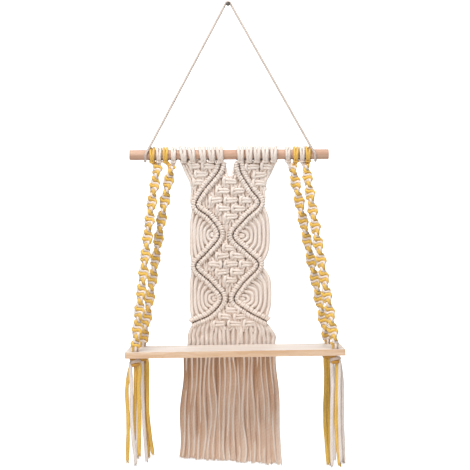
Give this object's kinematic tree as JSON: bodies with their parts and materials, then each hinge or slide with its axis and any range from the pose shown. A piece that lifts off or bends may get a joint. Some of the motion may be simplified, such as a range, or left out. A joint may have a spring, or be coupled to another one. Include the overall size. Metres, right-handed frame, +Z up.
{
  "type": "macrame wall shelf with its dowel and wall nail",
  "caption": "Knotted cotton panel with a long fringe on a wooden dowel, with knotted cord arms that carry a thin wooden shelf board, hung by a cord from a nail.",
  "frame": {"origin": "on the wall, at the centre of the nail's wall end", "axes": "+X to the viewer's right along the dowel, +Y into the wall, +Z up"},
  "size_m": [0.3148, 0.1445, 0.6992],
  "materials": {
    "natural_cord": "matte twisted cotton",
    "yellow_cord": "matte twisted cotton, dyed",
    "hanger_cord": "matte three-strand rope",
    "dowel_wood": "smooth, oiled",
    "board_wood": "smooth sanded",
    "nail_metal": "dull"
  },
  "bodies": {
    "root": {"wall_nail": "nail_metal", "hanging_cord": "hanger_cord", "dowel": "dowel_wood", "macrame_panel": "natural_cord", "panel_fringe": "natural_cord", "shelf_board": "board_wood", "arm_front_left": "yellow_cord", "tassel_front_left": "yellow_cord", "arm_back_left": "yellow_cord", "tassel_back_left": "yellow_cord", "arm_back_right": "yellow_cord", "tassel_back_right": "yellow_cord", "arm_front_right": "yellow_cord", "tassel_front_right": "yellow_cord"}
  },
  "joints": []
}
